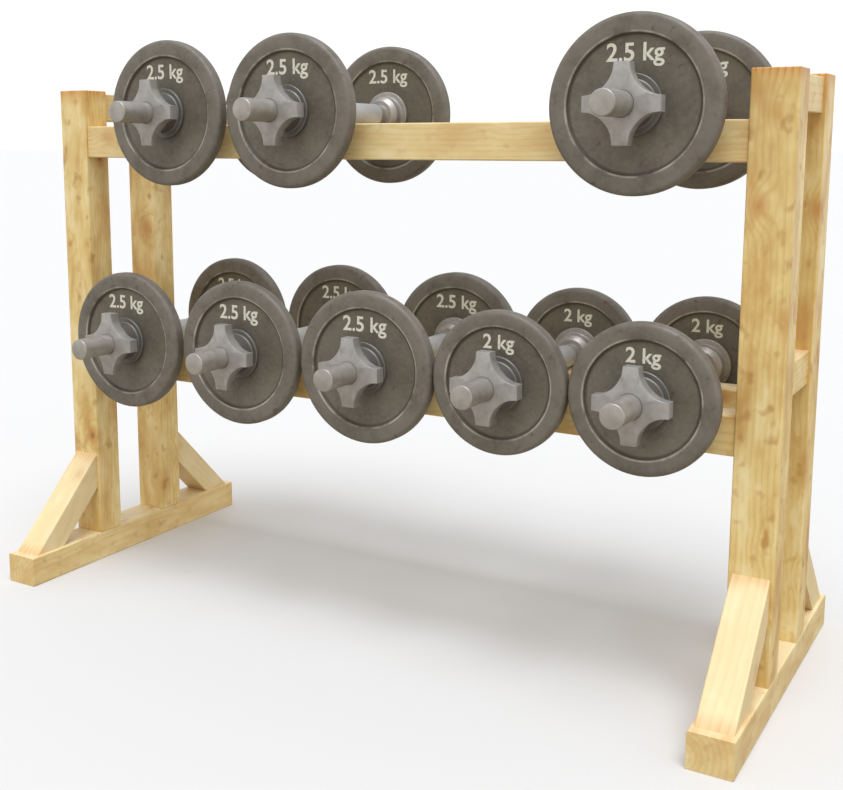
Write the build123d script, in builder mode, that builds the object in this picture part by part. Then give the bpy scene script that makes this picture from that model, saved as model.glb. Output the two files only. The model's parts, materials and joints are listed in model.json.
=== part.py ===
"""Two-tier dumbbell rack of planed pine, with eight adjustable dumbbells lying across its rails.

X runs along the rails, +Y points to the back and +Z up. The origin is on the floor, at the
middle of the footprint. All sizes are in millimetres.
"""
import os
from math import radians, sin, sqrt, tan

from build123d import *

# Overall sizes of the wooden stand
rack_width = 1052.0         # over the outer faces of the two end frames
foot_length = 454.0         # front to back
post_height = 710.0         # floor to the top of the posts

# Timber sections
post_width = 50.0           # along X, and the width of the feet
post_depth = 44.0           # along Y
foot_height = 42.0
post_gap = 94.0             # between the front and the rear post of one end frame
rail_height = 45.0
rail_inset = 3.0            # rail faces behind the post faces, front and back
crosspiece_height = 40.0
side_inset = 4.0            # crosspieces and braces behind the side faces of the posts
brace_thickness = 38.0      # square to the slope
brace_angle = 45.0
toe_setback = 12.0          # from the end of the foot to the toe of the brace
arris_radius = 2.0          # eased long edges of every timber

# Heights in the stand
low_rail_top = 341.0
high_rail_drop = 52.0       # from the top of the posts to the top of the high rails
high_crosspiece_drop = 4.0  # from the top of the posts
low_crosspiece_rise = 56.5  # from the top of the low rails to the top of the low crosspieces

# Dowels and screws that hold the stand together
dowel_radius = 5.0
dowel_length = 40.0
dowel_fit = 0.05            # radial clearance in the bore
dowel_end_gap = 1.0         # glue space at each end of a dowel
dowel_chamfer = 1.0
rail_dowel_spacing = 22.0
crosspiece_dowel_spacing = 20.0
screw_radius = 3.0
screw_length = 80.0         # below the head
screw_tip_length = 8.0
screw_fit = 0.05
screw_head_radius = 6.0
screw_head_height = 4.0
screw_socket_radius = 2.5
screw_socket_depth = 2.5
counterbore_radius = 7.0
counterbore_depth = 14.0
screw_spacing = 22.0

# Bar of a dumbbell, from its middle outwards
bar_radius = 14.0
grip_step = 1.0             # the knurled grip stands proud of the bar
grip_half_length = 78.0
rest_gap = 0.3              # between the grips and the tops of the rails
inner_collar_gap = 5.0      # between the rail faces and the inner collars
nose_radius = 20.0
inner_collar_radius = 26.0
inner_collar_taper = 7.0
inner_collar_length = 12.0
flange_radius = 33.0
flange_thickness = 5.0
bar_stub = 53.0             # stands out of the star collar
bar_chamfer = 1.5
collar_edge = 1.0

# Plates
large_plate_radius = 96.5
large_rim_width = 21.5
small_plate_radius = 86.0
small_rim_width = 19.0
web_thickness = 10.0
rim_rise = 4.0              # rim above the web on each face
rim_draft = 1.5
rim_outer_fillet = 5.5
rim_inner_fillet = 1.5
plate_bore_gap = 0.8

# Star collar
collar_fit = 0.05           # radial running clearance on the bar
hub_radius = 26.0
hub_length = 20.0
star_thickness = 15.0
star_radius = 43.0          # to the tips of the wings
star_waist = 26.5           # to the hollow between two wings
wing_tip_width = 17.0
star_edge = 1.2

# Places of the dumbbells along the rails
low_row_gaps = (9.0, 5.0, 1.5, 1.5)   # rim to rim, from the left
high_pair_middle = -188.0
high_pair_gap = 9.0
high_end_gap = 15.5                   # rim of the last plate to the face of the right post

# Worked out from the sizes above
post_centre_x = (rack_width - post_width) / 2
bay_half = rack_width / 2 - post_width
post_inner_y = post_gap / 2
post_outer_y = post_inner_y + post_depth
post_centre_y = (post_inner_y + post_outer_y) / 2
rail_outer_y = post_outer_y - rail_inset
rail_depth = post_depth - 2 * rail_inset
inset_width = post_width - 2 * side_inset
high_rail_top = post_height - high_rail_drop
high_crosspiece_top = post_height - high_crosspiece_drop
low_crosspiece_top = low_rail_top + low_crosspiece_rise
brace_contact = brace_thickness / sin(radians(brace_angle))
brace_run = foot_length / 2 - toe_setback - post_outer_y
brace_slope = tan(radians(brace_angle))
grip_radius = bar_radius + grip_step
nose_y = rail_outer_y + inner_collar_gap
shoulder_y = nose_y + inner_collar_taper
flange_y = shoulder_y + inner_collar_length
web_inner_y = flange_y + flange_thickness
web_outer_y = web_inner_y + web_thickness
hub_y = web_outer_y + flange_thickness
star_y = hub_y + hub_length
star_face_y = star_y + star_thickness
bar_end_y = star_face_y + bar_stub


def save(piece, name):
    """Label a finished piece and write it as one STEP file."""
    piece.part.label = name
    export_step(piece.part, f"parts/{name}.step")


def along_x(x, y, z):
    """A place whose local Z lies along X."""
    return Plane(origin=(x, y, z), x_dir=(0, 1, 0), z_dir=(1, 0, 0))


def along_y(x, y, z):
    """A place whose local Z lies along Y."""
    return Plane(origin=(x, y, z), x_dir=(1, 0, 0), z_dir=(0, 1, 0))


def along_z(x, y, z):
    """A place whose local Z points up."""
    return Plane(origin=(x, y, z), x_dir=(1, 0, 0), z_dir=(0, 0, 1))


# Each list holds the middles of the dowels across one kind of joint, for one end or side


def rail_dowels(side_x, side_y, rail_top):
    middle = rail_top - rail_height / 2
    half = rail_dowel_spacing / 2
    return [along_x(side_x * bay_half, side_y * post_centre_y, middle + dz) for dz in (-half, half)]


def crosspiece_dowels(side_x, side_y, top):
    middle = top - crosspiece_height / 2
    half = crosspiece_dowel_spacing / 2
    centre = side_x * post_centre_x
    return [along_y(centre + dx, side_y * post_inner_y, middle) for dx in (-half, half)]


def brace_foot_dowel(side_x, side_y):
    toe = foot_length / 2 - toe_setback
    return along_z(side_x * post_centre_x, side_y * (toe - brace_contact / 2), foot_height)


def brace_post_dowel(side_x, side_y):
    height = foot_height + brace_run * brace_slope - brace_contact * brace_slope / 2
    return along_y(side_x * post_centre_x, side_y * post_outer_y, height)


def screw_places(side_x, side_y):
    half = screw_spacing / 2
    centre = side_y * post_centre_y
    return [along_z(side_x * post_centre_x, centre + dy, counterbore_depth) for dy in (-half, half)]


def bore_for_dowels(places):
    """Cut the bores of the dowels at these places out of the piece being built."""
    with Locations(*places):
        Cylinder(dowel_radius + dowel_fit, dowel_length + 2 * dowel_end_gap, mode=Mode.SUBTRACT)


os.makedirs("parts", exist_ok=True)
sides_x = {"left": -1, "right": 1}
sides_y = {"front": -1, "rear": 1}

# Feet
for name_x, side_x in sides_x.items():
    with BuildPart() as foot:
        with BuildSketch(Plane.XZ.offset(foot_length / 2)):
            with Locations((side_x * post_centre_x, foot_height / 2)):
                Rectangle(post_width, foot_height)
        extrude(amount=-foot_length)
        fillet(foot.edges().filter_by(Axis.Y), arris_radius)
        bore_for_dowels([brace_foot_dowel(side_x, side_y) for side_y in sides_y.values()])
        for side_y in sides_y.values():
            for place in screw_places(side_x, side_y):
                with Locations(place):
                    Cylinder(
                        screw_radius + screw_fit,
                        foot_height,
                        align=(Align.CENTER, Align.CENTER, Align.MIN),
                        mode=Mode.SUBTRACT,
                    )
                    Cylinder(
                        counterbore_radius,
                        counterbore_depth,
                        align=(Align.CENTER, Align.CENTER, Align.MAX),
                        mode=Mode.SUBTRACT,
                    )
    save(foot, f"{name_x}_foot")

# Posts
for name_x, side_x in sides_x.items():
    for name_y, side_y in sides_y.items():
        with BuildPart() as post:
            with BuildSketch(Plane.XY.offset(foot_height)):
                with Locations((side_x * post_centre_x, side_y * post_centre_y)):
                    Rectangle(post_width, post_depth)
            extrude(amount=post_height - foot_height)
            fillet(post.edges().filter_by(Axis.Z), arris_radius)
            chamfer(post.faces().sort_by(Axis.Z)[-1].edges(), arris_radius / 2)
            for rail_top in (low_rail_top, high_rail_top):
                bore_for_dowels(rail_dowels(side_x, side_y, rail_top))
            for top in (low_crosspiece_top, high_crosspiece_top):
                bore_for_dowels(crosspiece_dowels(side_x, side_y, top))
            bore_for_dowels([brace_post_dowel(side_x, side_y)])
            with Locations(*screw_places(side_x, side_y)):
                Cylinder(
                    screw_radius + screw_fit,
                    screw_length + dowel_end_gap,
                    align=(Align.CENTER, Align.CENTER, Align.MIN),
                    mode=Mode.SUBTRACT,
                )
        save(post, f"{name_x}_{name_y}_post")

# Rails
for level, rail_top in (("low", low_rail_top), ("high", high_rail_top)):
    for name_y, side_y in sides_y.items():
        with BuildPart() as rail:
            with BuildSketch(Plane.YZ.offset(-bay_half)):
                with Locations((side_y * post_centre_y, rail_top - rail_height / 2)):
                    Rectangle(rail_depth, rail_height)
            extrude(amount=2 * bay_half)
            fillet(rail.edges().filter_by(Axis.X), arris_radius)
            for side_x in sides_x.values():
                bore_for_dowels(rail_dowels(side_x, side_y, rail_top))
        save(rail, f"{level}_{name_y}_rail")

# Crosspieces between the front and the rear post of each end frame
for level, top in (("low", low_crosspiece_top), ("high", high_crosspiece_top)):
    for name_x, side_x in sides_x.items():
        with BuildPart() as crosspiece:
            with BuildSketch(Plane.XZ.offset(post_inner_y)):
                with Locations((side_x * post_centre_x, top - crosspiece_height / 2)):
                    Rectangle(inset_width, crosspiece_height)
            extrude(amount=-post_gap)
            fillet(crosspiece.edges().filter_by(Axis.Y), arris_radius)
            for side_y in sides_y.values():
                bore_for_dowels(crosspiece_dowels(side_x, side_y, top))
        save(crosspiece, f"{level}_{name_x}_crosspiece")

# Braces from the foot up to the outer face of each post
for name_x, side_x in sides_x.items():
    for name_y, side_y in sides_y.items():
        toe_y = foot_length / 2 - toe_setback
        brace_top = foot_height + brace_run * brace_slope
        with BuildPart() as brace:
            with BuildSketch(Plane.YZ.offset(side_x * post_centre_x - inset_width / 2)):
                with BuildLine():
                    Polyline(
                        (side_y * toe_y, foot_height),
                        (side_y * (toe_y - brace_contact), foot_height),
                        (side_y * post_outer_y, brace_top - brace_contact * brace_slope),
                        (side_y * post_outer_y, brace_top),
                        close=True,
                    )
                make_face()
            extrude(amount=inset_width)
            slope = (0, side_y * toe_y, foot_height), (0, side_y * post_outer_y, brace_top)
            slope_axis = Axis(slope[0], Vector(slope[1]) - Vector(slope[0]))
            fillet(brace.edges().filter_by(slope_axis), arris_radius)
            bore_for_dowels([brace_foot_dowel(side_x, side_y), brace_post_dowel(side_x, side_y)])
        save(brace, f"{name_x}_{name_y}_brace")

# Dowels, hidden in the joints
dowel_places = []
for side_x in sides_x.values():
    for side_y in sides_y.values():
        for rail_top in (low_rail_top, high_rail_top):
            dowel_places += rail_dowels(side_x, side_y, rail_top)
        for top in (low_crosspiece_top, high_crosspiece_top):
            dowel_places += crosspiece_dowels(side_x, side_y, top)
        dowel_places += [brace_foot_dowel(side_x, side_y), brace_post_dowel(side_x, side_y)]

with BuildPart() as joint_dowels:
    with Locations(*dowel_places):
        Cylinder(dowel_radius, dowel_length)
    chamfer(joint_dowels.edges().filter_by(GeomType.CIRCLE), dowel_chamfer)
save(joint_dowels, "joint_dowels")

# Screws from below, through the feet into the ends of the posts
all_screw_places = []
for side_x in sides_x.values():
    for side_y in sides_y.values():
        all_screw_places += screw_places(side_x, side_y)

with BuildPart() as foot_screws:
    for place in all_screw_places:
        with BuildSketch(Plane(place.origin, x_dir=(1, 0, 0), z_dir=(0, -1, 0))):
            with BuildLine():
                Polyline(
                    (0, screw_length),
                    (screw_radius, screw_length - screw_tip_length),
                    (screw_radius, 0),
                    (screw_head_radius, 0),
                    (screw_head_radius, -screw_head_height),
                    (screw_socket_radius, -screw_head_height),
                    (screw_socket_radius, screw_socket_depth - screw_head_height),
                    (0, screw_socket_depth - screw_head_height),
                    close=True,
                )
            make_face()
        revolve(axis=Axis(place.origin, (0, 0, 1)))
save(foot_screws, "foot_screws")


# Pieces of a dumbbell, each about the bar's axis, which lies along Y at x and z


def profile_plane(x, z):
    """Plane of a turned profile: local X is the radius and local Y lies along the bar."""
    return Plane(origin=(x, 0, z), x_dir=(1, 0, 0), z_dir=(0, 0, 1))


def outward_plane(x, z, side_y, distance):
    """Plane square to the bar, facing outwards at this distance from the middle of the bar."""
    return Plane(origin=(x, side_y * distance, z), x_dir=(1, 0, 0), z_dir=(0, side_y, 0))


def make_bar(name, x, z):
    """Bar with its knurled grip and the two fixed inner collars."""
    half_profile = [
        (grip_radius, 0),
        (grip_radius, grip_half_length),
        (bar_radius, grip_half_length + grip_step),
        (bar_radius, nose_y),
        (nose_radius, nose_y),
        (inner_collar_radius, shoulder_y),
        (inner_collar_radius, flange_y),
        (flange_radius - collar_edge, flange_y),
        (flange_radius, flange_y + collar_edge),
        (flange_radius, web_inner_y - collar_edge),
        (flange_radius - collar_edge, web_inner_y),
        (bar_radius, web_inner_y),
        (bar_radius, bar_end_y - bar_chamfer),
        (bar_radius - bar_chamfer, bar_end_y),
        (0, bar_end_y),
    ]
    other_half = [(r, -y) for r, y in reversed(half_profile) if y > 0]
    with BuildPart() as bar:
        with BuildSketch(profile_plane(x, z)):
            with BuildLine():
                Polyline(*half_profile, *other_half, close=True)
            make_face()
        revolve(axis=Axis((x, 0, z), (0, 1, 0)))
    save(bar, name)


def make_plate(name, x, z, side_y, radius, rim_width):
    """Cast plate: a thin web, and a rim that stands above it on both faces."""
    recess = radius - rim_width
    bore = bar_radius + plate_bore_gap
    inner_face = side_y * (web_inner_y - rim_rise)
    outer_face = side_y * (web_outer_y + rim_rise)
    with BuildPart() as plate:
        with BuildSketch(profile_plane(x, z)) as section:
            with BuildLine():
                Polyline(
                    (bore, side_y * web_inner_y),
                    (recess - rim_draft, side_y * web_inner_y),
                    (recess, inner_face),
                    (radius, inner_face),
                    (radius, outer_face),
                    (recess, outer_face),
                    (recess - rim_draft, side_y * web_outer_y),
                    (bore, side_y * web_outer_y),
                    close=True,
                )
            make_face()
            fillet(section.vertices().group_by(Axis.X)[-2], rim_inner_fillet)
            fillet(section.vertices().group_by(Axis.X)[-1], rim_outer_fillet)
        revolve(axis=Axis((x, 0, z), (0, 1, 0)))
    save(plate, name)


def make_star_collar(name, x, z, side_y):
    """Nut with four wings, a round hub and a flange that bears on the plate."""
    tip = wing_tip_width / 2
    waist = star_waist / sqrt(2)
    length = star_face_y - web_outer_y
    with BuildPart() as collar:
        with BuildSketch(outward_plane(x, z, side_y, web_outer_y)):
            Circle(flange_radius)
        extrude(amount=flange_thickness)
        chamfer(collar.edges().filter_by(GeomType.CIRCLE), collar_edge)
        with BuildSketch(outward_plane(x, z, side_y, hub_y)):
            Circle(hub_radius)
        extrude(amount=hub_length)
        with BuildSketch(outward_plane(x, z, side_y, star_y)):
            with BuildLine():
                Line((star_radius, -tip), (star_radius, tip))
                ThreePointArc((star_radius, tip), (waist, waist), (tip, star_radius))
                Line((tip, star_radius), (-tip, star_radius))
                ThreePointArc((-tip, star_radius), (-waist, waist), (-star_radius, tip))
                Line((-star_radius, tip), (-star_radius, -tip))
                ThreePointArc((-star_radius, -tip), (-waist, -waist), (-tip, -star_radius))
                Line((-tip, -star_radius), (tip, -star_radius))
                ThreePointArc((tip, -star_radius), (waist, -waist), (star_radius, -tip))
            make_face()
        extrude(amount=star_thickness)
        front_edges = collar.faces().sort_by(Axis.Y)[-1 if side_y > 0 else 0].edges()
        chamfer(front_edges, star_edge)
        with BuildSketch(outward_plane(x, z, side_y, web_outer_y)):
            Circle(bar_radius + collar_fit)
        extrude(amount=length, mode=Mode.SUBTRACT)
    save(collar, name)


# The low row fills the bay: three large dumbbells on the left, then two small ones
large = (large_plate_radius, large_rim_width)
small = (small_plate_radius, small_rim_width)
low_row = (large, large, large, small, small)
low_row_length = 2 * sum(size[0] for size in low_row) + sum(low_row_gaps)
low_axis_z = low_rail_top + rest_gap + grip_radius
high_axis_z = high_rail_top + rest_gap + grip_radius

dumbbells = []
rim_x = -low_row_length / 2
for number, (size, gap) in enumerate(zip(low_row, (*low_row_gaps, 0.0)), start=1):
    dumbbells.append((f"low_{number}", rim_x + size[0], low_axis_z, size))
    rim_x += 2 * size[0] + gap

# The high row has a pair on the left and one on the right, with free places between them
pair_half = large_plate_radius + high_pair_gap / 2
high_row = (
    high_pair_middle - pair_half,
    high_pair_middle + pair_half,
    bay_half - high_end_gap - large_plate_radius,
)
for number, x in enumerate(high_row, start=1):
    dumbbells.append((f"high_{number}", x, high_axis_z, large))

for place, x, z, (radius, rim_width) in dumbbells:
    make_bar(f"{place}_bar", x, z)
    for name_y, side_y in sides_y.items():
        make_plate(f"{place}_{name_y}_plate", x, z, side_y, radius, rim_width)
        make_star_collar(f"{place}_{name_y}_collar", x, z, side_y)
    print(f"{place}: axis at x {x:.2f}, z {z:.2f}")
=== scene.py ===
import json
import math
import random

import bmesh
import bpy
from mathutils import Matrix, Vector


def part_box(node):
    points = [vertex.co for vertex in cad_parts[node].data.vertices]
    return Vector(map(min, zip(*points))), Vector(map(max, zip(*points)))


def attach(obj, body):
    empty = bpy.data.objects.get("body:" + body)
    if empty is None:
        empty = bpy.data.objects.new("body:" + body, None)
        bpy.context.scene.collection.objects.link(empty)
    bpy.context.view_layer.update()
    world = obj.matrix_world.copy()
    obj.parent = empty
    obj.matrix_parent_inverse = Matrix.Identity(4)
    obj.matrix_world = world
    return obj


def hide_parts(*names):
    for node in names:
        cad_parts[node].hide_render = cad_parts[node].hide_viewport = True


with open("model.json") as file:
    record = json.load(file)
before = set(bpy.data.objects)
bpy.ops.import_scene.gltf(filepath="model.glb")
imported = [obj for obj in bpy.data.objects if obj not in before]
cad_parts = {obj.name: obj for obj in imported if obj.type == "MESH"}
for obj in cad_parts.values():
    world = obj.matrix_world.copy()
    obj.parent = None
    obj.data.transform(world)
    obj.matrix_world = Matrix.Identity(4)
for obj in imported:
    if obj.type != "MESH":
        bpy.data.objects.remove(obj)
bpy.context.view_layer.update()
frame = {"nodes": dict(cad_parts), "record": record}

# Two-tier dumbbell rack: a pine stand and eight adjustable dumbbells lying across its rails.
# Metres, X along the rails, Y to the back, Z up; the origin is on the floor.

MM = 0.001
weld_distance = 0.001 * MM    # points closer than this are one
near = 0.01 * MM              # tolerance when points are picked by their place
body_of = {node: body for body, nodes in frame["record"]["behaviour"]["bodies"].items() for node in nodes}

# Timber
arris = 2.0 * MM              # eased long edges
end_arris = 0.6 * MM          # sawn ends, touched with sandpaper
post_top_arris = 1.0 * MM
brace_thickness = 38 * MM
counterbore_radius = 7 * MM
counterbore_depth = 14 * MM
screw_spacing = 22 * MM
unvarnished_foot = 40 * MM    # the post's lower end stands on the foot, out of the brush's reach
heart_distances = (26, 60)    # mm from the middle of a stick to the heart of its trunk

# Bar, from its middle outwards
bar_radius = 14 * MM
grip_radius = 15 * MM
grip_half_length = 78 * MM
knurl_pitch = 1.5 * MM        # a medium diamond knurl
knurl_depth = 0.45 * MM
nose_at = 93 * MM
nose_radius = 20 * MM
shoulder_at = 100 * MM
inner_collar_radius = 26 * MM
flange_at = 112 * MM
flange_radius = 33 * MM
flange_thickness = 5 * MM
bar_chamfer = 1.5 * MM        # round its two ends
grip_run_out = 1.2 * MM       # from the knurl down to the plain bar
bar_steps = 64                # faces round a bar

# Plates
web_thickness = 10 * MM
rim_rise = 4 * MM             # rim above the web, each face
rim_draft = 1.5 * MM
plate_bore = 14.8 * MM
bore_edge = 0.5 * MM
recess_fillet = 1.0 * MM      # in the corner at the foot of the rim
rim_inner_edge = 1.5 * MM
rim_outer_edge = 5.5 * MM
rim_share = 0.2225            # width of the rim as a share of the plate's radius
plate_steps = 128
mark_rise = 0.3 * MM          # thickness of the printed weight
mark_stands = 0.35            # of its middle above the web, as a share of its thickness
mark_boldness = 0.45 * MM     # added to each side of a stroke
mark_size = 0.275             # height of a line of it, as a share of the plate's radius
mark_height = 0.475           # of its foot above the plate's centre, as a share of the radius
large_plate_above = 90 * MM   # radius that tells the two sizes of plate apart

# Star collar
hub_at = 132 * MM
hub_radius = 26 * MM
star_at = 152 * MM
star_thickness = 15 * MM
star_radius = 43 * MM
star_waist = 26.5 * MM
star_edge = 1.2 * MM
collar_bore = 14.05 * MM
bore_chamfer = 0.6 * MM
flange_edge = 0.8 * MM
hub_fillet = 1.2 * MM         # where the hub rises from the flange
hub_taper = 2.5 * MM          # length over which the hub slims to meet the star
star_back_edge = 0.8 * MM
star_steps = 96               # points round the star, an even number in each wing tip and hollow
tip_angle = math.radians(11.25)


# ---------------------------------------------------------------- materials


def linear(code):
    """Linear colour of an sRGB hex value."""
    channels = [int(code[i : i + 2], 16) / 255 for i in (1, 3, 5)]
    return [c / 12.92 if c <= 0.04045 else ((c + 0.055) / 1.055) ** 2.4 for c in channels] + [1.0]


def add(tree, kind, inputs=None, stops=None, **settings):
    """Add a node: its settings, its inputs as values or sockets, and the stops of a colour ramp."""
    node = tree.nodes.new(kind)
    for name, value in settings.items():
        setattr(node, name, value)
    for key, value in (inputs or {}).items():
        socket = next(s for i, s in enumerate(node.inputs) if key in (i, s.identifier))
        if isinstance(value, bpy.types.NodeSocket):
            tree.links.new(value, socket)
        else:
            socket.default_value = value
    for i, (place, colour) in enumerate(stops or ()):
        ramp = node.color_ramp.elements
        stop = ramp[i] if i < len(ramp) else ramp.new(place)
        stop.position = place
        stop.color = colour
    return node


def new_material(name):
    """An empty material, and the tree to fill."""
    material = bpy.data.materials.new(name)
    material.use_nodes = True
    tree = material.node_tree
    tree.nodes.clear()
    return material, tree


def finish_material(tree, shader):
    """Link the finished shader to the material's output."""
    add(tree, "ShaderNodeOutputMaterial", {"Surface": shader.outputs["BSDF"]})


BLACK = [0.0, 0.0, 0.0, 1.0]
WHITE = [1.0, 1.0, 1.0, 1.0]


def make_varnished_pine():
    """Planed plantation pine under satin varnish: broad pale rings, warm blotches, small knots."""
    material, tree = new_material("varnished_pine")
    ring_width = 6.5 * MM          # fast-grown pine; finer rings would blur at this distance
    knot_spacing = 72 * MM
    knot_radius = 7.5 * MM
    knot_raggedness = 4 * MM
    ring_swell = 16 * MM           # how far a knot pushes the rings out
    heart_wander = 45 * MM         # multiplies a noise that strays by about 0.2 either way
    grain = add(tree, "ShaderNodeAttribute", attribute_name="grain").outputs["Vector"]
    ends = add(tree, "ShaderNodeAttribute", attribute_name="ends").outputs["Vector"]

    # The trunk isn't straight: its heart wanders by up to a centimetre along the stick
    slow = add(tree, "ShaderNodeVectorMath", {0: grain, 1: (6, 6, 2.6)}, operation="MULTIPLY")
    wander = add(tree, "ShaderNodeTexNoise", {"Vector": slow.outputs[0], "Scale": 1.0, "Detail": 2.0})
    centred = add(tree, "ShaderNodeVectorMath", {0: wander.outputs["Color"], 1: (0.5, 0.5, 0.5)},
                  operation="SUBTRACT")
    shift = add(tree, "ShaderNodeVectorMath", {0: centred.outputs[0], 1: (heart_wander, heart_wander, 0.0)},
                operation="MULTIPLY")
    bent = add(tree, "ShaderNodeVectorMath", {0: grain, 1: shift.outputs[0]}, operation="ADD")
    across = add(tree, "ShaderNodeVectorMath", {0: bent.outputs[0], 1: (1, 1, 0)}, operation="MULTIPLY")
    radius = add(tree, "ShaderNodeVectorMath", {0: across.outputs[0]}, operation="LENGTH")

    # Knots: branch stubs that the rings flow round
    knot_space = add(tree, "ShaderNodeVectorMath", {0: grain, 1: (1, 1, 0.72)}, operation="MULTIPLY")
    knots = add(tree, "ShaderNodeTexVoronoi",
                {"Vector": knot_space.outputs[0], "Scale": 1 / knot_spacing, "Randomness": 1.0})
    knot_distance = add(tree, "ShaderNodeMath",
                        {0: knots.outputs["Distance"], 1: knot_spacing}, operation="MULTIPLY")
    ripple = add(tree, "ShaderNodeTexNoise", {"Vector": grain, "Scale": 1 / (9 * MM), "Detail": 2.0})
    ragged = add(tree, "ShaderNodeMath",
                 {0: ripple.outputs["Fac"], 1: knot_raggedness, 2: knot_distance.outputs[0]},
                 operation="MULTIPLY_ADD")
    swell = add(tree, "ShaderNodeMapRange",
                {"Value": knot_distance.outputs[0], "From Min": 0.0, "From Max": 4 * knot_radius,
                 "To Min": ring_swell, "To Max": 0.0}, interpolation_type="SMOOTHSTEP")
    flowing = add(tree, "ShaderNodeMath", {0: radius.outputs["Value"], 1: swell.outputs["Result"]},
                  operation="ADD")

    # Growth rings: pale spring wood darkening into a thin line of late wood
    turns = add(tree, "ShaderNodeMath", {0: flowing.outputs[0], 1: ring_width}, operation="DIVIDE")
    ring = add(tree, "ShaderNodeMath", {0: turns.outputs[0]}, operation="FRACT")
    late = add(tree, "ShaderNodeValToRGB", {"Fac": ring.outputs[0]},
               stops=[(0.0, [0.35] * 3 + [1]), (0.12, BLACK), (0.55, [0.22] * 3 + [1]), (0.86, WHITE)])
    late.color_ramp.elements.new(0.99).color = [0.5, 0.5, 0.5, 1]

    # Fibres along the stick, drawn coarser than real ones so that they show
    fine = add(tree, "ShaderNodeVectorMath", {0: grain, 1: (1, 1, 0.045)}, operation="MULTIPLY")
    fibres = add(tree, "ShaderNodeTexNoise",
                 {"Vector": fine.outputs[0], "Scale": 1 / (2.2 * MM), "Detail": 3.0, "Roughness": 0.6})

    # Warm blotches where the varnish has soaked in unevenly, about 30 mm by 70 mm
    patch = add(tree, "ShaderNodeVectorMath", {0: grain, 1: (1, 1, 0.42)}, operation="MULTIPLY")
    blotches = add(tree, "ShaderNodeTexNoise",
                   {"Vector": patch.outputs[0], "Scale": 1 / (30 * MM), "Detail": 3.5, "Roughness": 0.55})
    warm = add(tree, "ShaderNodeMapRange",
               {"Value": blotches.outputs["Fac"], "From Min": 0.48, "From Max": 0.68})
    pale = add(tree, "ShaderNodeMapRange",
               {"Value": blotches.outputs["Fac"], "From Min": 0.46, "From Max": 0.30})

    # Colour, from the body of the wood to its marks
    wood = add(tree, "ShaderNodeMix", {"Factor_Float": late.outputs["Color"],
               "A_Color": linear("#E9CD8B"), "B_Color": linear("#D5B36B")}, data_type="RGBA")
    fibre_tone = add(tree, "ShaderNodeMapRange",
                     {"Value": fibres.outputs["Fac"], "From Min": 0.3, "From Max": 0.75})
    streaked = add(tree, "ShaderNodeMix", {"Factor_Float": fibre_tone.outputs["Result"],
                   "A_Color": wood.outputs[2], "B_Color": linear("#DDBF76")}, data_type="RGBA")
    lightened = add(tree, "ShaderNodeMix", {"Factor_Float": pale.outputs["Result"],
                    "A_Color": streaked.outputs[2], "B_Color": linear("#EED9A0")}, data_type="RGBA")
    sap = add(tree, "ShaderNodeAttribute", attribute_name="sapwood").outputs["Fac"]
    sapwood = add(tree, "ShaderNodeMix", {"Factor_Float": sap,
                  "A_Color": lightened.outputs[2], "B_Color": linear("#E6D3A9")}, data_type="RGBA")

    # Faces that look up are painted paler: a painted highlight standing in for the light from overhead
    lie = add(tree, "ShaderNodeSeparateXYZ", {"Vector": add(tree, "ShaderNodeNewGeometry").outputs["Normal"]})
    painted_top_light = add(tree, "ShaderNodeMapRange",
                   {"Value": lie.outputs["Z"], "From Min": 0.75, "From Max": 0.98, "To Max": 0.6})
    top_lit_wood = add(tree, "ShaderNodeMix", {"Factor_Float": painted_top_light.outputs["Result"],
                 "A_Color": sapwood.outputs[2], "B_Color": linear("#F3E0B6")}, data_type="RGBA")
    heartwood = add(tree, "ShaderNodeMath", {0: sap, 1: -1.3, 2: 0.8}, operation="MULTIPLY_ADD",
                    use_clamp=True)
    warm_part = add(tree, "ShaderNodeMath", {0: warm.outputs["Result"], 1: heartwood.outputs[0]},
                    operation="MULTIPLY")
    # the warm blotches go over the painted top highlight
    warmed = add(tree, "ShaderNodeMix", {"Factor_Float": warm_part.outputs[0],
                 "A_Color": top_lit_wood.outputs[2], "B_Color": linear("#C6944A")}, data_type="RGBA")

    # Brown flecks 5 to 10 mm across, where small side shoots were cut through
    fleck_space = add(tree, "ShaderNodeVectorMath", {0: grain, 1: (1, 1, 0.8)}, operation="MULTIPLY")
    flecks = add(tree, "ShaderNodeTexNoise", {"Vector": fleck_space.outputs[0], "Scale": 1 / (17 * MM),
                 "Detail": 1.5, "Roughness": 0.5})
    fleck = add(tree, "ShaderNodeMapRange",
                {"Value": flecks.outputs["Fac"], "From Min": 0.61, "From Max": 0.76, "To Max": 0.9})
    fleck_part = add(tree, "ShaderNodeMath", {0: fleck.outputs["Result"], 1: heartwood.outputs[0]},
                     operation="MULTIPLY")
    flecked = add(tree, "ShaderNodeMix", {"Factor_Float": fleck_part.outputs[0],
                  "A_Color": warmed.outputs[2], "B_Color": linear("#B37F3C")}, data_type="RGBA")

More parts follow.
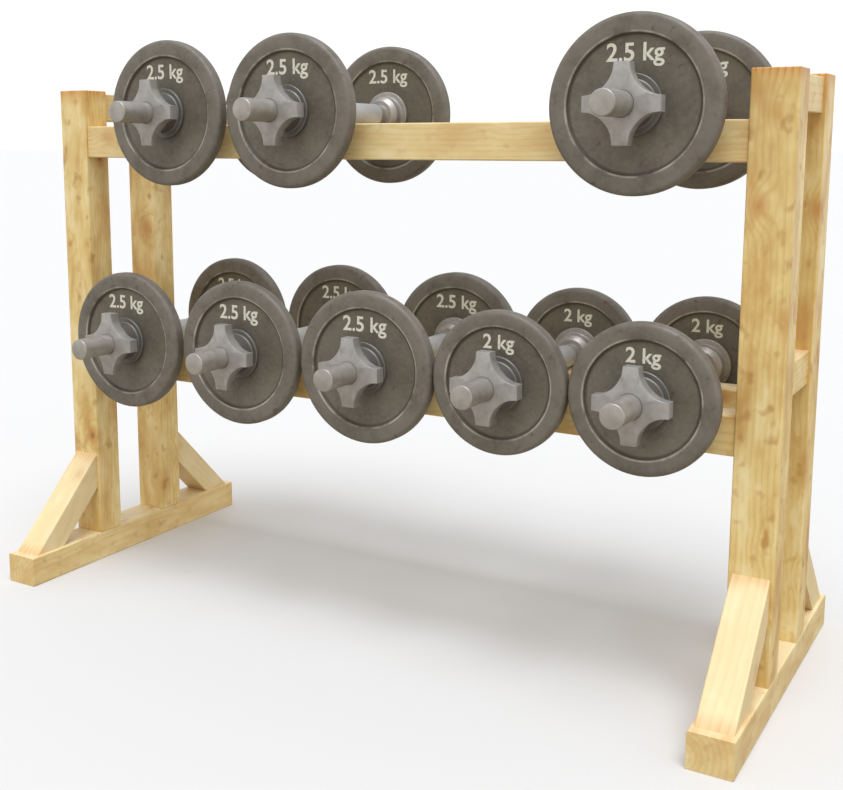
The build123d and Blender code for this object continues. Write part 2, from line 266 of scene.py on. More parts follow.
    # Sawn ends drink more varnish, so the last centimetres turn orange
    both = add(tree, "ShaderNodeSeparateXYZ", {"Vector": ends})
    nearest = add(tree, "ShaderNodeMath", {0: both.outputs["X"], 1: both.outputs["Y"]}, operation="MINIMUM")
    soak_edge = add(tree, "ShaderNodeMath",
                    {0: blotches.outputs["Fac"], 1: -55 * MM, 2: 47 * MM}, operation="MULTIPLY_ADD")
    soaked = add(tree, "ShaderNodeMapRange",
                 {"Value": nearest.outputs[0], "From Min": 0.0, "From Max": soak_edge.outputs[0],
                  "To Min": 0.8, "To Max": 0.0}, interpolation_type="SMOOTHSTEP")
    thirst = add(tree, "ShaderNodeMath", {0: soaked.outputs["Result"], 1: both.outputs["Z"]},
                 operation="MULTIPLY")
    end_tone = add(tree, "ShaderNodeMix", {"Factor_Float": late.outputs["Color"],
                   "A_Color": linear("#DCA04E"), "B_Color": linear("#B87631")}, data_type="RGBA")
    ended = add(tree, "ShaderNodeMix", {"Factor_Float": thirst.outputs[0],
                "A_Color": flecked.outputs[2], "B_Color": end_tone.outputs[2]}, data_type="RGBA")

    # Each knot has a brown heart in a softer orange halo
    halo = add(tree, "ShaderNodeMapRange",
               {"Value": ragged.outputs[0], "From Min": knot_radius * 0.7, "From Max": knot_radius * 2.4,
                "To Min": 0.85, "To Max": 0.0}, interpolation_type="SMOOTHSTEP")
    haloed = add(tree, "ShaderNodeMix", {"Factor_Float": halo.outputs["Result"],
                 "A_Color": ended.outputs[2], "B_Color": linear("#C68C45")}, data_type="RGBA")
    heart = add(tree, "ShaderNodeMapRange",
                {"Value": ragged.outputs[0], "From Min": knot_radius * 0.35, "From Max": knot_radius * 1.1,
                 "To Min": 0.9, "To Max": 0.0}, interpolation_type="SMOOTHSTEP")
    coloured = add(tree, "ShaderNodeMix", {"Factor_Float": heart.outputs["Result"],
                   "A_Color": haloed.outputs[2], "B_Color": linear("#8E5A2C")}, data_type="RGBA")

    relief = add(tree, "ShaderNodeMath", {0: late.outputs["Color"], 1: fibres.outputs["Fac"]},
                 operation="ADD")
    bump = add(tree, "ShaderNodeBump",
               {"Height": relief.outputs[0], "Strength": 0.35, "Distance": 0.12 * MM})
    gloss = add(tree, "ShaderNodeMapRange", {"Value": fibres.outputs["Fac"], "To Min": 0.38, "To Max": 0.58})
    shader = add(tree, "ShaderNodeBsdfPrincipled",
                 {"Base Color": coloured.outputs[2], "Roughness": gloss.outputs["Result"],
                  "Normal": bump.outputs["Normal"], "Coat Weight": 0.12, "Coat Roughness": 0.25})
    finish_material(tree, shader)
    return material


def make_lacquered_iron():
    """Sand-cast iron under thin grey lacquer: soft grit, handling stains, freckles of rust."""
    material, tree = new_material("lacquered_cast_iron")
    local = add(tree, "ShaderNodeAttribute", attribute_name="local").outputs["Vector"]
    step = add(tree, "ShaderNodeAttribute", attribute_name="from_step").outputs["Fac"]

    cloud = add(tree, "ShaderNodeTexNoise",
                {"Vector": local, "Scale": 1 / (32 * MM), "Detail": 4.0, "Roughness": 0.6})
    mottle = add(tree, "ShaderNodeTexNoise",
                 {"Vector": local, "Scale": 1 / (5 * MM), "Detail": 3.0, "Roughness": 0.6})
    # The grit of moulding sand, drawn coarser than it is so that it shows
    grit = add(tree, "ShaderNodeTexNoise",
               {"Vector": local, "Scale": 1 / (1.4 * MM), "Detail": 2.0, "Roughness": 0.7})

    on_rim = add(tree, "ShaderNodeMapRange", {"Value": step, "From Min": -1.2 * MM, "From Max": 0.2 * MM})
    toned = add(tree, "ShaderNodeMix", {"Factor_Float": on_rim.outputs["Result"],
                "A_Color": linear("#6C6658"), "B_Color": linear("#746D62")}, data_type="RGBA")
    dull = add(tree, "ShaderNodeMapRange",
               {"Value": cloud.outputs["Fac"], "From Min": 0.42, "From Max": 0.70, "To Max": 0.8})
    clouded = add(tree, "ShaderNodeMix", {"Factor_Float": dull.outputs["Result"],
                  "A_Color": toned.outputs[2], "B_Color": linear("#5A5347")}, data_type="RGBA")
    fleck = add(tree, "ShaderNodeMapRange",
                {"Value": mottle.outputs["Fac"], "From Min": 0.45, "From Max": 0.75, "To Max": 0.55})
    flecked = add(tree, "ShaderNodeMix", {"Factor_Float": fleck.outputs["Result"],
                  "A_Color": clouded.outputs[2], "B_Color": linear("#7D7463")}, data_type="RGBA")

    # Rust breaking through in a few freckles of 2 to 5 mm
    rust_patch = add(tree, "ShaderNodeTexNoise", {"Vector": local, "Scale": 1 / (11 * MM), "Detail": 5.0,
                     "Roughness": 0.65, "Distortion": 0.4})
    rust = add(tree, "ShaderNodeMapRange",
               {"Value": rust_patch.outputs["Fac"], "From Min": 0.61, "From Max": 0.69, "To Max": 0.75})
    rusted = add(tree, "ShaderNodeMix", {"Factor_Float": rust.outputs["Result"],
                 "A_Color": flecked.outputs[2], "B_Color": linear("#5C4538")}, data_type="RGBA")

    # Painted shade darkens the corner at the foot of the rim, and the rim's inner edge is painted pale,
    # partly rubbed wear and partly a painted highlight
    corner = add(tree, "ShaderNodeMath", {0: step, 1: 1.9 * MM}, operation="ADD")
    off_corner = add(tree, "ShaderNodeMath", {0: corner.outputs[0]}, operation="ABSOLUTE")
    painted_corner_shade = add(tree, "ShaderNodeMapRange",
                {"Value": off_corner.outputs[0], "From Min": 0.7 * MM, "From Max": 2.4 * MM,
                 "To Min": 0.65, "To Max": 0.0})
    # painted shade: dark olive laid into the corner at the foot of the rim
    corner_shaded = add(tree, "ShaderNodeMix", {"Factor_Float": painted_corner_shade.outputs["Result"],
                 "A_Color": rusted.outputs[2], "B_Color": linear("#403B2C")}, data_type="RGBA")
    off_edge = add(tree, "ShaderNodeMath", {0: step, 1: 1.0 * MM}, operation="SUBTRACT")
    near_edge = add(tree, "ShaderNodeMath", {0: off_edge.outputs[0]}, operation="ABSOLUTE")
    # Pale inner edge of the rim: partly rubbed wear, partly a painted highlight
    rubbed_and_highlit = add(tree, "ShaderNodeMapRange",
                 {"Value": near_edge.outputs[0], "From Min": 0.3 * MM, "From Max": 1.6 * MM,
                  "To Min": 0.8, "To Max": 0.0})
    spared = add(tree, "ShaderNodeMapRange",
                 {"Value": cloud.outputs["Fac"], "From Min": 0.62, "From Max": 0.40})
    wear_and_highlight_patches = add(tree, "ShaderNodeMath", {0: rubbed_and_highlit.outputs["Result"], 1: spared.outputs["Result"]},
                 operation="MULTIPLY", use_clamp=True)
    # mixes in the pale edge, which is partly wear and partly painted highlight
    worn = add(tree, "ShaderNodeMix", {"Factor_Float": wear_and_highlight_patches.outputs[0],
               "A_Color": corner_shaded.outputs[2], "B_Color": linear("#B9B1A0")}, data_type="RGBA")

    heights = add(tree, "ShaderNodeMath",
                  {0: mottle.outputs["Fac"], 1: 1.6, 2: grit.outputs["Fac"]}, operation="MULTIPLY_ADD")
    bump = add(tree, "ShaderNodeBump",
               {"Height": heights.outputs[0], "Strength": 0.5, "Distance": 0.25 * MM})
    gloss = add(tree, "ShaderNodeMapRange", {"Value": cloud.outputs["Fac"], "To Min": 0.42, "To Max": 0.66})
    shader = add(tree, "ShaderNodeBsdfPrincipled",
                 {"Base Color": worn.outputs[2], "Metallic": 0.1, "Roughness": gloss.outputs["Result"],
                  "Normal": bump.outputs["Normal"]})
    finish_material(tree, shader)
    return material


def make_weight_print():
    """Cream pad-printed ink: flat, thin, and a little worn through on the grit of the casting."""
    material, tree = new_material("cream_printed_ink")
    local = add(tree, "ShaderNodeAttribute", attribute_name="local").outputs["Vector"]
    wear = add(tree, "ShaderNodeTexNoise", {"Vector": local, "Scale": 1 / (1.8 * MM), "Detail": 3.0})
    worn = add(tree, "ShaderNodeMapRange",
               {"Value": wear.outputs["Fac"], "From Min": 0.55, "From Max": 0.72, "To Max": 0.8})
    colour = add(tree, "ShaderNodeMix", {"Factor_Float": worn.outputs["Result"],
                 "A_Color": linear("#DCD8C4"), "B_Color": linear("#9A9484")}, data_type="RGBA")
    bump = add(tree, "ShaderNodeBump", {"Height": wear.outputs["Fac"], "Strength": 0.3, "Distance": 0.1 * MM})
    shader = add(tree, "ShaderNodeBsdfPrincipled",
                 {"Base Color": colour.outputs[2], "Roughness": 0.6, "Normal": bump.outputs["Normal"]})
    finish_material(tree, shader)
    return material


def make_turned_steel():
    """Turned steel bar, dull zinc plated: pale grey with faint tool lines round it."""
    material, tree = new_material("zinc_plated_turned_steel")
    local = add(tree, "ShaderNodeAttribute", attribute_name="local").outputs["Vector"]
    smear = add(tree, "ShaderNodeTexNoise",
                {"Vector": local, "Scale": 1 / (14 * MM), "Detail": 4.0, "Roughness": 0.6})
    # Tool lines run round the bar, and are drawn coarser than real ones so that they show
    lines_space = add(tree, "ShaderNodeVectorMath", {0: local, 1: (0.05, 1, 0.05)}, operation="MULTIPLY")
    lines = add(tree, "ShaderNodeTexNoise",
                {"Vector": lines_space.outputs[0], "Scale": 1 / (0.9 * MM), "Detail": 2.0})
    tone = add(tree, "ShaderNodeMapRange",
               {"Value": smear.outputs["Fac"], "From Min": 0.35, "From Max": 0.7})
    colour = add(tree, "ShaderNodeMix", {"Factor_Float": tone.outputs["Result"],
                 "A_Color": linear("#B1ACA3"), "B_Color": linear("#9D978E")}, data_type="RGBA")
    knurl = add(tree, "ShaderNodeAttribute", attribute_name="knurl").outputs["Fac"]
    gripped = add(tree, "ShaderNodeMix", {"Factor_Float": knurl,
                  "A_Color": colour.outputs[2], "B_Color": linear("#D6D5D2")}, data_type="RGBA")
    bump = add(tree, "ShaderNodeBump",
               {"Height": lines.outputs["Fac"], "Strength": 0.25, "Distance": 0.06 * MM})
    gloss = add(tree, "ShaderNodeMapRange", {"Value": smear.outputs["Fac"], "To Min": 0.32, "To Max": 0.52})
    shader = add(tree, "ShaderNodeBsdfPrincipled",
                 {"Base Color": gripped.outputs[2], "Metallic": 0.6, "Roughness": gloss.outputs["Result"],
                  "Normal": bump.outputs["Normal"]})
    finish_material(tree, shader)
    return material


def make_cast_zinc():
    """Die-cast zinc alloy, tumbled: satin grey with a fine skin, and a darker hub and flange."""
    material, tree = new_material("tumbled_cast_zinc")
    local = add(tree, "ShaderNodeAttribute", attribute_name="local").outputs["Vector"]
    cloud = add(tree, "ShaderNodeTexNoise",
                {"Vector": local, "Scale": 1 / (12 * MM), "Detail": 4.0, "Roughness": 0.6})
    skin = add(tree, "ShaderNodeTexNoise",
               {"Vector": local, "Scale": 1 / (1.1 * MM), "Detail": 2.0, "Roughness": 0.6})
    tone = add(tree, "ShaderNodeMapRange",
               {"Value": cloud.outputs["Fac"], "From Min": 0.38, "From Max": 0.68})
    colour = add(tree, "ShaderNodeMix", {"Factor_Float": tone.outputs["Result"],
                 "A_Color": linear("#AEAAA4"), "B_Color": linear("#9F9A93")}, data_type="RGBA")
    # the hub and flange are made darker than the star
    darker_hub = add(tree, "ShaderNodeAttribute", attribute_name="darker_hub").outputs["Fac"]
    darkened_hub = add(tree, "ShaderNodeMix", {"Factor_Float": darker_hub,
                 "A_Color": colour.outputs[2], "B_Color": linear("#6A665E")}, data_type="RGBA")
    bump = add(tree, "ShaderNodeBump",
               {"Height": skin.outputs["Fac"], "Strength": 0.35, "Distance": 0.1 * MM})
    gloss = add(tree, "ShaderNodeMapRange", {"Value": cloud.outputs["Fac"], "To Min": 0.42, "To Max": 0.6})
    shader = add(tree, "ShaderNodeBsdfPrincipled",
                 {"Base Color": darkened_hub.outputs[2], "Metallic": 0.55, "Roughness": gloss.outputs["Result"],
                  "Normal": bump.outputs["Normal"]})
    finish_material(tree, shader)
    return material


def make_beech():
    """Plain turned beech of the dowels: pinkish tan with short dark flecks."""
    material, tree = new_material("plain_beech")
    place = add(tree, "ShaderNodeTexCoord").outputs["Object"]
    fleck = add(tree, "ShaderNodeTexNoise", {"Vector": place, "Scale": 1 / (1.5 * MM), "Detail": 3.0})
    colour = add(tree, "ShaderNodeMix", {"Factor_Float": fleck.outputs["Fac"],
                 "A_Color": linear("#D9B48C"), "B_Color": linear("#B98A5E")}, data_type="RGBA")
    shader = add(tree, "ShaderNodeBsdfPrincipled", {"Base Color": colour.outputs[2], "Roughness": 0.6})
    finish_material(tree, shader)
    return material


def make_screw_steel():
    """Yellow-passivated steel screws: a warm metal with a slight rainbow of tone."""
    material, tree = new_material("passivated_screw_steel")
    place = add(tree, "ShaderNodeTexCoord").outputs["Object"]
    tone = add(tree, "ShaderNodeTexNoise", {"Vector": place, "Scale": 1 / (4 * MM), "Detail": 2.0})
    colour = add(tree, "ShaderNodeMix", {"Factor_Float": tone.outputs["Fac"],
                 "A_Color": linear("#CDB67A"), "B_Color": linear("#B39A6E")}, data_type="RGBA")
    shader = add(tree, "ShaderNodeBsdfPrincipled",
                 {"Base Color": colour.outputs[2], "Metallic": 1.0, "Roughness": 0.35})
    finish_material(tree, shader)
    return material


pine = make_varnished_pine()
iron = make_lacquered_iron()
ink = make_weight_print()
steel = make_turned_steel()
zinc = make_cast_zinc()
beech = make_beech()
screw_steel = make_screw_steel()


# ---------------------------------------------------------------- pieces


def piece_from(bm, node, materials, smooth_angle=35):
    """Turn a finished bmesh into the piece that stands for a CAD node."""
    bmesh.ops.remove_doubles(bm, verts=bm.verts[:], dist=weld_distance)
    bmesh.ops.recalc_face_normals(bm, faces=bm.faces[:])
    mesh = bpy.data.meshes.new(node + "_mesh")
    bm.to_mesh(mesh)
    bm.free()
    for material in materials:
        mesh.materials.append(material)
    mesh.shade_smooth()
    mesh.set_sharp_from_angle(angle=math.radians(smooth_angle))
    piece = bpy.data.objects.new("look_" + node, mesh)
    bpy.context.scene.collection.objects.link(piece)
    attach(piece, body_of[node])
    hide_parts(node)
    return piece


def store(mesh, name, kind, value_at):
    """Give every point of the mesh a named value worked out from its place."""
    layer = mesh.attributes.new(name, kind, "POINT")
    field = "vector" if kind == "FLOAT_VECTOR" else "value"
    for point, item in zip(mesh.vertices, layer.data):
        setattr(item, field, value_at(point.co))


def cut_from(piece, cutter_bm):
    """Bore a piece with a cutter, and keep only the result."""
    cutter_mesh = bpy.data.meshes.new("cutter")
    cutter_bm.to_mesh(cutter_mesh)
    cutter_bm.free()
    cutter = bpy.data.objects.new("cutter", cutter_mesh)
    bpy.context.scene.collection.objects.link(cutter)
    bore = piece.modifiers.new("bore", "BOOLEAN")
    bore.object = cutter
    bore.operation = "DIFFERENCE"
    bore.solver = "EXACT"
    bpy.context.view_layer.update()
    bored = bpy.data.meshes.new_from_object(piece.evaluated_get(bpy.context.evaluated_depsgraph_get()))
    piece.modifiers.clear()
    piece.data = bored
    bpy.data.objects.remove(cutter)
    bpy.data.meshes.remove(cutter_mesh)


def add_grain(piece, along, start, end, rng, thirst=0.25, sap=0.0, covered=0.0):
    """Place the trunk's heart beside the stick, and note how far each point is from the sawn ends.

    thirst is how much varnish the ends drink, and sap how much of the stick is pale sapwood.
    covered puts the start out of the varnish's reach, where it stands on another timber.
    """
    middle = (start + end) / 2
    side = along.orthogonal().normalized()
    up = along.cross(side)
    turn = rng.uniform(0, math.tau)
    heart_distance = rng.uniform(*heart_distances) * MM
    heart = middle + heart_distance * (math.cos(turn) * side + math.sin(turn) * up)
    batch = rng.uniform(0, 40)          # which part of which tree
    length = (end - start).length

    def grain_at(co):
        away = co - heart
        return (away.dot(side), away.dot(up), away.dot(along) + batch)

    def ends_at(co):
        travelled = (co - start).dot(along)
        return (travelled + covered, length - travelled, thirst)

    store(piece.data, "grain", "FLOAT_VECTOR", grain_at)
    store(piece.data, "ends", "FLOAT_VECTOR", ends_at)
    store(piece.data, "sapwood", "FLOAT", lambda co: sap)
    even = piece.modifiers.new("even_shading", "WEIGHTED_NORMAL")
    even.keep_sharp = True


def round_edges(bm, edges, radius, segments=3):
    """Round these edges, if there are any."""
    if edges:
        bmesh.ops.bevel(bm, geom=edges, offset=radius, offset_type="OFFSET", segments=segments,
                        profile=0.5, affect="EDGES", clamp_overlap=True, material=-1)


def edges_along(bm, direction):
    """The straight edges that run this way, to within a few degrees."""
    found = []
    for edge in bm.edges:
        runs = (edge.verts[1].co - edge.verts[0].co).normalized()
        if abs(runs.dot(direction)) > 0.999:
            found.append(edge)
    return found


def make_stick(node, axis, rng, top_edge=end_arris):
    """A squared stick with eased long edges, filling the box of its CAD node."""
    low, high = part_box(node)
    along = Vector([1.0 if i == axis else 0.0 for i in range(3)])
    bm = bmesh.new()
    size = Matrix.Diagonal((*(high - low), 1))
    bmesh.ops.create_cube(bm, size=1, matrix=Matrix.Translation((low + high) / 2) @ size)
    round_edges(bm, edges_along(bm, along), arris)
    for end, radius in ((low[axis], end_arris), (high[axis], top_edge)):
        ring = [e for e in bm.edges if all(abs(v.co[axis] - end) < near for v in e.verts)]
        round_edges(bm, ring, radius, 2)
    piece = piece_from(bm, node, [pine], 60)
    middle = (low + high) / 2
    start, end = middle.copy(), middle.copy()
    start[axis], end[axis] = low[axis], high[axis]
    return piece, (along, start, end, rng)


def make_foot(node, rng):
    """A foot with the deep bores for the heads of its four screws."""
    piece, grain = make_stick(node, 1, rng)
    low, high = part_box(node)
    x = (low.x + high.x) / 2
    cutter = bmesh.new()
    side = node.split("_")[0]
    for post in ("front", "rear"):
        post_low, post_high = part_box(f"{side}_{post}_post")
        for offset in (-screw_spacing / 2, screw_spacing / 2):
            y = (post_low.y + post_high.y) / 2 + offset
            at = Matrix.Translation((x, y, low.z))
            bmesh.ops.create_cone(cutter, cap_ends=True, segments=32, radius1=counterbore_radius,
                                  radius2=counterbore_radius, depth=2 * counterbore_depth, matrix=at)
    cut_from(piece, cutter)
    add_grain(piece, *grain, thirst=0.05, sap=0.25)


def make_brace(node, rng):
    """A sloping brace, mitred to sit on the foot and against the post."""
    low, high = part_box(node)
    front = "front" in node
    toe, post_face = (low.y, high.y) if front else (high.y, low.y)
    inward = 1 if front else -1
    slope = math.atan2(high.z - low.z, abs(post_face - toe))
    foot_length = brace_thickness / math.sin(slope)
    post_length = brace_thickness / math.cos(slope)
    bm = bmesh.new()
    corners = [(toe, low.z), (toe + inward * foot_length, low.z), (post_face, high.z - post_length),
               (post_face, high.z)]
    side = bm.faces.new([bm.verts.new((low.x, y, z)) for y, z in corners])
    swept = bmesh.ops.extrude_face_region(bm, geom=[side])["geom"]
    bmesh.ops.translate(bm, vec=(high.x - low.x, 0, 0), verts=[g for g in swept if hasattr(g, "co")])
    along = Vector((0, inward * math.cos(slope), math.sin(slope)))
    round_edges(bm, edges_along(bm, along), arris)
    piece = piece_from(bm, node, [pine], 60)
    middle_x = (low.x + high.x) / 2
    start = Vector((middle_x, toe, low.z))
    end = Vector((middle_x, post_face, high.z))
    add_grain(piece, along, start, end, rng, thirst=0.6, sap=0.55)


level_sticks = ("front_rail", "rear_rail", "left_crosspiece", "right_crosspiece")

# Every timber and bar has a seed of its own, and each plate shares one with its collar, so that a change
# to one of them leaves the others as they are
foot_seed = 100
post_seed = 200
brace_seed = 300
rail_seed = 400
bar_seed = 500
plate_seed = 600


def make_stand():
    """The pine stand: two end frames, and a pair of rails at each level between them."""
    for number, side in enumerate(("left", "right")):
        make_foot(f"{side}_foot", random.Random(foot_seed + number))
        for depth_number, depth in enumerate(("front", "rear")):
            corner = 10 * number + depth_number
            rng = random.Random(post_seed + corner)
            post, grain = make_stick(f"{side}_{depth}_post", 2, rng, post_top_arris)
            add_grain(post, *grain, thirst=0.95, covered=unvarnished_foot)
            make_brace(f"{side}_{depth}_brace", random.Random(brace_seed + corner))
    for number, level in enumerate(("low", "high")):
        for place_number, place in enumerate(level_sticks):
            axis = 0 if place.endswith("rail") else 1
            rng = random.Random(rail_seed + 10 * number + place_number)
            stick, grain = make_stick(f"{level}_{place}", axis, rng)
            add_grain(stick, *grain, sap=0.08 if level == "low" else 0.3)


def turn_profile(profile, steps, closed):
    """Spin (along, radius, rounding) points about Y, then round the ring that each point makes."""
    bm = bmesh.new()
    points = [bm.verts.new((radius, along, 0)) for along, radius, _ in profile]
    pairs = list(zip(points, points[1:]))
    if closed:
        pairs.append((points[-1], points[0]))
    outline = [bm.edges.new(pair) for pair in pairs]
    bmesh.ops.spin(bm, geom=points + outline, cent=(0, 0, 0), axis=(0, 1, 0), angle=math.tau,
                   steps=steps, use_merge=True)
    bmesh.ops.remove_doubles(bm, verts=bm.verts[:], dist=weld_distance)
    bmesh.ops.recalc_face_normals(bm, faces=bm.faces[:])
    for along, radius, rounding in profile:
        if rounding:
            ring = [e for e in bm.edges if all(on_ring(v.co, along, radius) for v in e.verts)]
            round_edges(bm, ring, rounding, 3 if rounding < 2 * MM else 6)
    return bm


def on_ring(co, along, radius):
    """Whether a point lies on the ring at this place along Y, with this radius."""
    return abs(co.y - along) < near and abs(math.hypot(co.x, co.z) - radius) < near


def move_to(bm, x, y, z):
    """Take a mesh built round the origin to its place."""
    bmesh.ops.translate(bm, vec=(x, y, z), verts=bm.verts[:])


def store_local(piece, centre, rng):
    """Place of each point from the middle of its own piece, shifted so that no two pieces match."""
    lot = Vector([rng.uniform(0, 9) for _ in range(3)])
    store(piece.data, "local", "FLOAT_VECTOR", lambda co: co - centre + lot)


def make_bar(node, rng):
    """Bar with a diamond-knurled grip between its two fixed inner collars."""
    low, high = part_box(node)
    centre = (low + high) / 2
    end = high.y - centre.y
    rows = round(2 * grip_half_length / knurl_pitch)
    grip = [(-grip_half_length + 2 * grip_half_length * i / rows, grip_radius, 0) for i in range(rows + 1)]
    half = [
        (grip_half_length + grip_run_out, bar_radius, 0),
        (nose_at, bar_radius, 0.6 * MM),
        (nose_at, nose_radius, 0.8 * MM),
        (shoulder_at, inner_collar_radius, 1.2 * MM),
        (flange_at, inner_collar_radius, 1.0 * MM),
        (flange_at, flange_radius, 1.0 * MM),
        (flange_at + flange_thickness, flange_radius, 0.8 * MM),
        (flange_at + flange_thickness, bar_radius, 0),
        (end, bar_radius, bar_chamfer),
        (end, 0, 0),
    ]
    mirrored = [(-along, radius, rounding) for along, radius, rounding in reversed(half)]
    bm = turn_profile(mirrored + grip + half, bar_steps, False)
    cut_knurl(bm)
    move_to(bm, centre.x, centre.y, centre.z)
    piece = piece_from(bm, node, [steel])
    store_local(piece, centre, rng)
    store(piece.data, "knurl", "FLOAT", lambda co: 0.8 if abs(co.y - centre.y) <= grip_half_length else 0.0)


def cut_knurl(bm):
    """Sink every second point of the grip, and join the sunk points by the valleys between diamonds."""
    sunk = []
    for vert in bm.verts:
        inside = abs(vert.co.y) < grip_half_length - 0.5 * knurl_pitch
        if inside and math.hypot(vert.co.x, vert.co.z) > bar_radius:
            row = round((vert.co.y + grip_half_length) / knurl_pitch)
            column = round(math.atan2(vert.co.z, vert.co.x) / math.tau * bar_steps)
            if (row + column) % 2:
                sunk.append(vert)
    bmesh.ops.connect_verts(bm, verts=sunk)
    share = 1 - knurl_depth / grip_radius
    for vert in sunk:
        vert.co.x *= share
        vert.co.z *= share


def weight_mark(text, radius, facing):
    """Mesh of the printed weight, read from the side that the face looks to (-1 front, 1 back)."""
    curve = bpy.data.curves.new("weight", "FONT")
    curve.body = text
    curve.size = mark_size * radius
    curve.align_x = "CENTER"
    curve.extrude = mark_rise / 2
    curve.offset = mark_boldness
    curve.resolution_u = 5
    letters = bpy.data.objects.new("weight", curve)
    bpy.context.scene.collection.objects.link(letters)
    bpy.context.view_layer.update()
    mesh = bpy.data.meshes.new_from_object(letters.evaluated_get(bpy.context.evaluated_depsgraph_get()))
    bpy.data.objects.remove(letters)
    bpy.data.curves.remove(curve)
    stand_up = Matrix.Rotation(math.pi / 2, 4, "X")
    face_out = Matrix.Rotation(0 if facing < 0 else math.pi, 4, "Z")
    mesh.transform(face_out @ stand_up)
    return mesh


def make_plate(node, rng):
    """Cast plate: a rim above the web on both faces, and its weight printed on both."""
    low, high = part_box(node)
    centre = (low + high) / 2
    radius = (high.x - low.x) / 2
    recess = radius * (1 - rim_share)
    half_web = web_thickness / 2
    half_rim = half_web + rim_rise
    right = [
        (half_web, plate_bore, bore_edge),
        (half_web, recess - rim_draft, recess_fillet),
        (half_rim, recess, rim_inner_edge),
        (half_rim, radius, rim_outer_edge),
    ]
    left = [(-along, r, rounding) for along, r, rounding in reversed(right)]
    bm = turn_profile(right + left, plate_steps, True)
    text = "2.5 kg" if radius > large_plate_above else "2 kg"
    for facing in (-1, 1):
        mark = weight_mark(text, radius, facing)
        out = facing * (half_web + mark_rise * mark_stands)
        mark.transform(Matrix.Translation((0, out, mark_height * radius)))
        cast = set(bm.faces)
        bm.from_mesh(mark)
        bm.faces.ensure_lookup_table()
        for face in set(bm.faces) - cast:
            face.material_index = 1
        bpy.data.meshes.remove(mark)
    move_to(bm, centre.x, centre.y, centre.z)
    piece = piece_from(bm, node, [iron, ink])
    store_local(piece, centre, rng)
    store(piece.data, "from_step", "FLOAT",
          lambda co: math.hypot(co.x - centre.x, co.z - centre.z) - recess)


def star_outline(angle):
    """Radius of the star: four flat wing tips, and between them arcs that dip to the waist."""
    from_tip = abs((angle + math.pi / 4) % (math.pi / 2) - math.pi / 4)
    if from_tip <= tip_angle + 1e-6:
        return star_radius / math.cos(from_tip)
    corner = Vector((star_radius, star_radius * math.tan(tip_angle)))
    diagonal = Vector((1, 1)).normalized()
    reach = (corner.length_squared - star_waist**2) / (2 * (corner.dot(diagonal) - star_waist))
    hollow_radius = reach - star_waist
    off = math.pi / 4 - from_tip
    return reach * math.cos(off) - math.sqrt(hollow_radius**2 - (reach * math.sin(off)) ** 2)


def shell_of_rings(stations):
    """A closed shell about Y through rings, each with its place along Y and its radius for an angle."""
    bm = bmesh.new()
    turn = Matrix.Rotation(math.pi / 2, 4, "X")
    ring = bmesh.ops.create_circle(bm, cap_ends=False, radius=1, segments=star_steps, matrix=turn)["verts"]
    for number, (along, radius_at) in enumerate(stations + stations[:1]):
        if number:
            last = set(ring)
            edges = [e for e in bm.edges if last.issuperset(e.verts)]
            made = bmesh.ops.extrude_edge_only(bm, edges=edges)["geom"]
            ring = [g for g in made if isinstance(g, bmesh.types.BMVert)]
        for vert in ring:
            angle = math.atan2(vert.co.z, vert.co.x)
            radius = radius_at(angle)
            vert.co = (math.cos(angle) * radius, along, math.sin(angle) * radius)
    return bm


def make_collar(node, rng):
    """Star collar: a flange against the plate, a round hub and a nut with four wings."""
    low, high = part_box(node)
    centre = (low + high) / 2
    outwards = -1 if centre.y < 0 else 1
    flange_from = hub_at - flange_thickness
    star_face = star_at + star_thickness
    slim = 0.3 * MM                     # keeps the end of the hub inside the hollows of the star
    stations = [
        (flange_from, lambda a: collar_bore),
        (flange_from, lambda a: flange_radius - flange_edge),
        (flange_from + flange_edge, lambda a: flange_radius),
        (hub_at - flange_edge, lambda a: flange_radius),
        (hub_at, lambda a: flange_radius - flange_edge),
        (hub_at, lambda a: hub_radius + hub_fillet),
        (hub_at + hub_fillet, lambda a: hub_radius),
        (star_at - hub_taper, lambda a: hub_radius),
        (star_at, lambda a: min(hub_radius, star_outline(a) - slim)),
        (star_at, lambda a: star_outline(a) - star_back_edge),
        (star_at + star_back_edge, star_outline),
        (star_face - star_edge, star_outline),
        (star_face - 0.3 * star_edge, lambda a: star_outline(a) - 0.3 * star_edge),
        (star_face, lambda a: star_outline(a) - star_edge),
        (star_face, lambda a: collar_bore + bore_chamfer),
        (star_face - bore_chamfer, lambda a: collar_bore),
    ]
    bm = shell_of_rings([(outwards * along, radius_at) for along, radius_at in stations])
    move_to(bm, centre.x, 0, centre.z)
    piece = piece_from(bm, node, [zinc], 30)
    store_local(piece, centre, rng)
    # the hub and flange, nearer the plate than the star, are made darker
    store(piece.data, "darker_hub", "FLOAT", lambda co: 0.85 if abs(co.y) < star_at - 1.0 * MM else 0.0)


def make_dumbbells():
    """Five dumbbells on the low rails and three on the high ones."""
    rows = [f"low_{n}" for n in range(1, 6)] + [f"high_{n}" for n in range(1, 4)]
    for number, row in enumerate(rows):
        make_bar(f"{row}_bar", random.Random(bar_seed + number))
        for side_number, side in enumerate(("front", "rear")):
            rng = random.Random(plate_seed + 10 * number + side_number)
            make_plate(f"{row}_{side}_plate", rng)
            make_collar(f"{row}_{side}_collar", rng)


make_stand()
make_dumbbells()
for node, material in (("joint_dowels", beech), ("foot_screws", screw_steel)):
    for slot in frame["nodes"][node].material_slots:
        slot.material = material


# ---------------------------------------------------------------- floor, light and camera


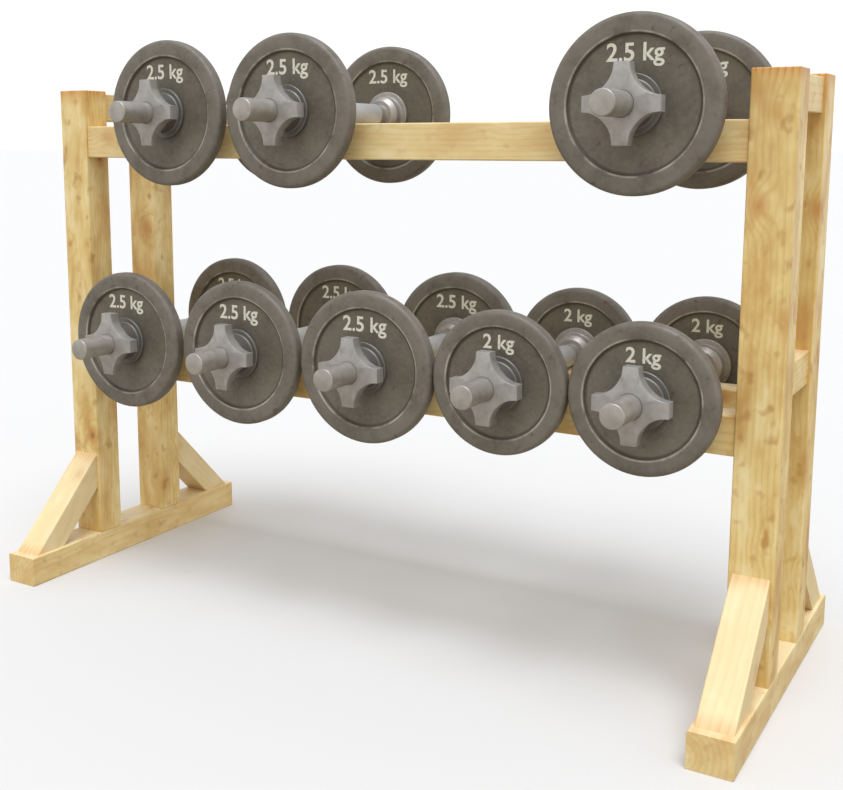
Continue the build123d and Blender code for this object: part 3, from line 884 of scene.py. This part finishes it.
def make_floor():
    """Plain pale studio floor, wide enough that its edge lies at the horizon."""
    bm = bmesh.new()
    bmesh.ops.create_grid(bm, x_segments=1, y_segments=1, size=120)
    mesh = bpy.data.meshes.new("studio_floor")
    bm.to_mesh(mesh)
    bm.free()
    material, tree = new_material("matt_pale_floor")
    shader = add(tree, "ShaderNodeBsdfPrincipled", {"Base Color": linear("#D6D3CD"), "Roughness": 0.9})
    finish_material(tree, shader)
    mesh.materials.append(material)
    floor = bpy.data.objects.new("studio_floor", mesh)
    floor.visible_diffuse = False       # the dim lower half of the room lights the undersides instead
    floor.visible_glossy = False
    bpy.context.scene.collection.objects.link(floor)


def add_key():
    """Broad soft light from overhead, a little to the front and the right."""
    light = bpy.data.lights.new("key_overhead", "SUN")
    light.energy = 2.6
    light.angle = math.radians(38)
    light.color = linear("#EAF1FF")[:3]
    lamp = bpy.data.objects.new("key_overhead", light)
    shines_towards = Vector((-0.22, 0.32, -1))
    lamp.rotation_euler = shines_towards.to_track_quat("-Z", "Y").to_euler()
    bpy.context.scene.collection.objects.link(lamp)


def set_world():
    """Even pale room, dimmer and warmer from below, and a little cooler overhead."""
    world = bpy.data.worlds.new("pale_room")
    bpy.context.scene.world = world
    world.use_nodes = True
    tree = world.node_tree
    tree.nodes.clear()
    direction = add(tree, "ShaderNodeTexCoord").outputs["Generated"]
    height = add(tree, "ShaderNodeSeparateXYZ", {"Vector": direction})
    level = add(tree, "ShaderNodeMapRange", {"Value": height.outputs["Z"], "From Min": -1.0})
    sky = add(tree, "ShaderNodeValToRGB", {"Fac": level.outputs["Result"]},
              stops=[(0.40, linear("#B9B2A6")), (0.46, linear("#FBFBFB"))])
    sky.color_ramp.elements.new(0.56).color = linear("#FBFBFB")
    sky.color_ramp.elements.new(0.70).color = linear("#DADBDE")
    background = add(tree, "ShaderNodeBackground", {"Color": sky.outputs["Color"], "Strength": 1.12})
    add(tree, "ShaderNodeOutputWorld", {"Surface": background.outputs["Background"]})


def set_camera():
    """Eye a little above the high rail, off the right-hand end, looking slightly down."""
    yaw = 0.545
    pitch = 0.1529
    data = bpy.data.cameras.new("camera")
    data.sensor_width = 36
    data.lens = 49.45
    data.shift_x = 0.0419
    data.shift_y = -0.0847
    camera = bpy.data.objects.new("camera", data)
    camera.location = (0.7863, -1.3280, 0.6311)
    camera.rotation_euler = (math.pi / 2 - pitch, 0, yaw)
    bpy.context.scene.collection.objects.link(camera)
    bpy.context.scene.camera = camera


make_floor()
set_world()
add_key()
set_camera()
bpy.context.scene.view_settings.view_transform = "Standard"
